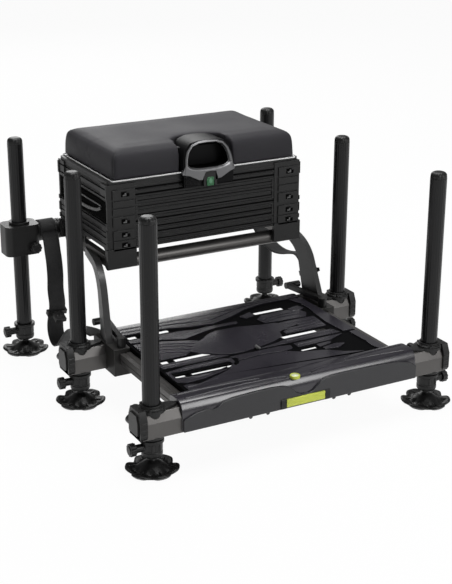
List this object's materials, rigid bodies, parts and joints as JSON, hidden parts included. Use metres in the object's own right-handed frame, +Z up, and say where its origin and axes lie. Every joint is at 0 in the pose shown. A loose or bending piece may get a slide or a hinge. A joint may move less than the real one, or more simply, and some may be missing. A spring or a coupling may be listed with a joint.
{
  "type": "fishing seat box",
  "caption": "Fishing seat box on adjustable round legs with mud feet: cushioned lid over stacked trays and side drawers, and a sliding footplate with a grip, level and cam levers.",
  "frame": {"origin": "on the ground, under the middle of the bounding box", "axes": "+X to the sitter's left as seen from the front, that is to the right in the front view; +Y from the footplate to the back; +Z up"},
  "size_m": [0.791, 0.8243, 0.554],
  "materials": {
    "coated_tube": "satin black anodised",
    "gunmetal": "satin gunmetal",
    "cast_metal": "satin casting",
    "black_plastic": "matt",
    "box_plastic": "matt",
    "deck_plastic": "semi-gloss",
    "gloss_black": "gloss",
    "cushion_cover": "soft matt",
    "lime_plastic": "gloss",
    "green_plastic": "gloss",
    "webbing": "woven",
    "steel_pin": "brushed"
  },
  "bodies": {
    "frame": {"mid_beam": "gunmetal", "mid_beam_fittings": "black_plastic", "rail_guides": "black_plastic", "side_arms": "gunmetal", "seat_frame": "gunmetal", "rear_beam": "gunmetal", "rear_clamps": "cast_metal", "base_frame": "box_plastic", "shoulder_straps": "webbing", "strap_buckles": "black_plastic"},
    "footplate": {"front_beam": "gunmetal", "front_beam_fittings": "black_plastic", "side_rails": "gunmetal", "footplate_rear": "deck_plastic", "footplate_front": "deck_plastic", "platform_handle": "lime_plastic", "spirit_level": "lime_plastic"},
    "leg_front_left": {"leg_tube_front_left": "coated_tube", "leg_knuckle_front_left": "black_plastic"},
    "foot_front_left": {"foot_front_left": "black_plastic"},
    "foot_knob_front_left": {"foot_knob_front_left": "black_plastic"},
    "clamp_knob_front_left": {"clamp_knob_front_left": "black_plastic"},
    "leg_front_right": {"leg_tube_front_right": "coated_tube", "leg_knuckle_front_right": "black_plastic"},
    "foot_front_right": {"foot_front_right": "black_plastic"},
    "foot_knob_front_right": {"foot_knob_front_right": "black_plastic"},
    "clamp_knob_front_right": {"clamp_knob_front_right": "black_plastic"},
    "leg_mid_left": {"leg_tube_mid_left": "coated_tube", "leg_knuckle_mid_left": "black_plastic"},
    "foot_mid_left": {"foot_mid_left": "black_plastic"},
    "foot_knob_mid_left": {"foot_knob_mid_left": "black_plastic"},
    "clamp_knob_mid_left": {"clamp_knob_mid_left": "black_plastic"},
    "leg_mid_right": {"leg_tube_mid_right": "coated_tube", "leg_knuckle_mid_right": "black_plastic"},
    "foot_mid_right": {"foot_mid_right": "black_plastic"},
    "foot_knob_mid_right": {"foot_knob_mid_right": "black_plastic"},
    "clamp_knob_mid_right": {"clamp_knob_mid_right": "black_plastic"},
    "leg_rear_left": {"leg_tube_rear_left": "coated_tube", "leg_knuckle_rear_left": "black_plastic"},
    "foot_rear_left": {"foot_rear_left": "black_plastic"},
    "foot_knob_rear_left": {"foot_knob_rear_left": "black_plastic"},
    "clamp_knob_rear_left": {"clamp_knob_rear_left": "black_plastic"},
    "leg_rear_right": {"leg_tube_rear_right": "coated_tube", "leg_knuckle_rear_right": "black_plastic"},
    "foot_rear_right": {"foot_rear_right": "black_plastic"},
    "foot_knob_rear_right": {"foot_knob_rear_right": "black_plastic"},
    "clamp_knob_rear_right": {"clamp_knob_rear_right": "black_plastic"},
    "rail_lever_left": {"rail_lever_left": "black_plastic"},
    "rail_lever_right": {"rail_lever_right": "black_plastic"},
    "lower_tray": {"lower_tray": "box_plastic"},
    "middle_tray": {"middle_tray": "box_plastic"},
    "drawer_case": {"drawer_case": "box_plastic"},
    "top_tray": {"top_tray": "box_plastic", "hinge_pin": "steel_pin"},
    "drawer_left": {"drawer_left": "box_plastic"},
    "drawer_right": {"drawer_right": "box_plastic"},
    "seat": {"seat_lid": "box_plastic", "seat_cushion": "cushion_cover", "latch_handle": "gloss_black"},
    "release_button": {"release_button": "green_plastic"}
  },
  "joints": [
    {"name": "footplate_slide", "type": "slide", "parent": "frame", "child": "footplate", "axis": [0, 1, 0], "range_m": [0, 0.24]},
    {"name": "leg_front_left_slide", "type": "slide", "parent": "footplate", "child": "leg_front_left", "axis": [0, 0, 1], "range_m": [-0.35, 0]},
    {"name": "foot_front_left_tilt", "type": "hinge", "parent": "leg_front_left", "child": "foot_front_left", "pos_m": [-0.34, -0.357, 0.038], "axis": [1, 0, 0], "range_deg": [-20, 20]},
    {"name": "foot_knob_front_left_turn", "type": "hinge", "parent": "leg_front_left", "child": "foot_knob_front_left", "pos_m": [-0.388, -0.357, 0.054], "axis": [1, 0, 0], "continuous": true},
    {"name": "clamp_knob_front_left_turn", "type": "hinge", "parent": "footplate", "child": "clamp_knob_front_left", "pos_m": [-0.34, -0.312, 0.096], "axis": [0, 1, 0], "continuous": true},
    {"name": "leg_front_right_slide", "type": "slide", "parent": "footplate", "child": "leg_front_right", "axis": [0, 0, 1], "range_m": [-0.35, 0]},
    {"name": "foot_front_right_tilt", "type": "hinge", "parent": "leg_front_right", "child": "foot_front_right", "pos_m": [0.34, -0.357, 0.038], "axis": [1, 0, 0], "range_deg": [-20, 20]},
    {"name": "foot_knob_front_right_turn", "type": "hinge", "parent": "leg_front_right", "child": "foot_knob_front_right", "pos_m": [0.388, -0.357, 0.054], "axis": [1, 0, 0], "continuous": true},
    {"name": "clamp_knob_front_right_turn", "type": "hinge", "parent": "footplate", "child": "clamp_knob_front_right", "pos_m": [0.34, -0.312, 0.096], "axis": [0, 1, 0], "continuous": true},
    {"name": "leg_mid_left_slide", "type": "slide", "parent": "frame", "child": "leg_mid_left", "axis": [0, 0, 1], "range_m": [-0.35, 0]},
    {"name": "foot_mid_left_tilt", "type": "hinge", "parent": "leg_mid_left", "child": "foot_mid_left", "pos_m": [-0.34, 0.011, 0.038], "axis": [1, 0, 0], "range_deg": [-20, 20]},
    {"name": "foot_knob_mid_left_turn", "type": "hinge", "parent": "leg_mid_left", "child": "foot_knob_mid_left", "pos_m": [-0.388, 0.011, 0.054], "axis": [1, 0, 0], "continuous": true},
    {"name": "clamp_knob_mid_left_turn", "type": "hinge", "parent": "frame", "child": "clamp_knob_mid_left", "pos_m": [-0.34, 0.056, 0.096], "axis": [0, 1, 0], "continuous": true},
    {"name": "leg_mid_right_slide", "type": "slide", "parent": "frame", "child": "leg_mid_right", "axis": [0, 0, 1], "range_m": [-0.35, 0]},
    {"name": "foot_mid_right_tilt", "type": "hinge", "parent": "leg_mid_right", "child": "foot_mid_right", "pos_m": [0.34, 0.011, 0.038], "axis": [1, 0, 0], "range_deg": [-20, 20]},
    {"name": "foot_knob_mid_right_turn", "type": "hinge", "parent": "leg_mid_right", "child": "foot_knob_mid_right", "pos_m": [0.388, 0.011, 0.054], "axis": [1, 0, 0], "continuous": true},
    {"name": "clamp_knob_mid_right_turn", "type": "hinge", "parent": "frame", "child": "clamp_knob_mid_right", "pos_m": [0.34, 0.056, 0.096], "axis": [0, 1, 0], "continuous": true},
    {"name": "leg_rear_left_slide", "type": "slide", "parent": "frame", "child": "leg_rear_left", "axis": [0, 0, 1], "range_m": [-0.19, 0.16]},
    {"name": "foot_rear_left_tilt", "type": "hinge", "parent": "leg_rear_left", "child": "foot_rear_left", "pos_m": [-0.34, 0.357, 0.038], "axis": [1, 0, 0], "range_deg": [-20, 20]},
    {"name": "foot_knob_rear_left_turn", "type": "hinge", "parent": "leg_rear_left", "child": "foot_knob_rear_left", "pos_m": [-0.388, 0.357, 0.054], "axis": [1, 0, 0], "continuous": true},
    {"name": "clamp_knob_rear_left_turn", "type": "hinge", "parent": "frame", "child": "clamp_knob_rear_left", "pos_m": [-0.3145, 0.317, 0.269], "axis": [0, 1, 0], "continuous": true},
    {"name": "leg_rear_right_slide", "type": "slide", "parent": "frame", "child": "leg_rear_right", "axis": [0, 0, 1], "range_m": [-0.19, 0.16]},
    {"name": "foot_rear_right_tilt", "type": "hinge", "parent": "leg_rear_right", "child": "foot_rear_right", "pos_m": [0.34, 0.357, 0.038], "axis": [1, 0, 0], "range_deg": [-20, 20]},
    {"name": "foot_knob_rear_right_turn", "type": "hinge", "parent": "leg_rear_right", "child": "foot_knob_rear_right", "pos_m": [0.388, 0.357, 0.054], "axis": [1, 0, 0], "continuous": true},
    {"name": "clamp_knob_rear_right_turn", "type": "hinge", "parent": "frame", "child": "clamp_knob_rear_right", "pos_m": [0.3145, 0.317, 0.269], "axis": [0, 1, 0], "continuous": true},
    {"name": "rail_lever_left_turn", "type": "hinge", "parent": "frame", "child": "rail_lever_left", "pos_m": [-0.262, -0.044, 0.152], "axis": [0, 0, -1], "range_deg": [0, 60]},
    {"name": "rail_lever_right_turn", "type": "hinge", "parent": "frame", "child": "rail_lever_right", "pos_m": [0.262, -0.044, 0.152], "axis": [0, 0, 1], "range_deg": [0, 60]},
    {"name": "lower_tray_lift", "type": "slide", "parent": "frame", "child": "lower_tray", "axis": [0, 0, 1], "range_m": [0, 0.06]},
    {"name": "middle_tray_lift", "type": "slide", "parent": "lower_tray", "child": "middle_tray", "axis": [0, 0, 1], "range_m": [0, 0.06]},
    {"name": "drawer_case_lift", "type": "slide", "parent": "middle_tray", "child": "drawer_case", "axis": [0, 0, 1], "range_m": [0, 0.06]},
    {"name": "top_tray_lift", "type": "slide", "parent": "drawer_case", "child": "top_tray", "axis": [0, 0, 1], "range_m": [0, 0.06]},
    {"name": "drawer_left_slide", "type": "slide", "parent": "drawer_case", "child": "drawer_left", "axis": [-1, 0, 0], "range_m": [0, 0.2]},
    {"name": "drawer_right_slide", "type": "slide", "parent": "drawer_case", "child": "drawer_right", "axis": [1, 0, 0], "range_m": [0, 0.2]},
    {"name": "seat_hinge", "type": "hinge", "parent": "top_tray", "child": "seat", "pos_m": [0, 0.33, 0.475], "axis": [-1, 0, 0], "range_deg": [0, 95]},
    {"name": "button_press", "type": "slide", "parent": "seat", "child": "release_button", "axis": [0, 1, 0], "range_m": [0, 0.003], "stiffness_N_per_m": 600, "springref_m": -0.001}
  ]
}
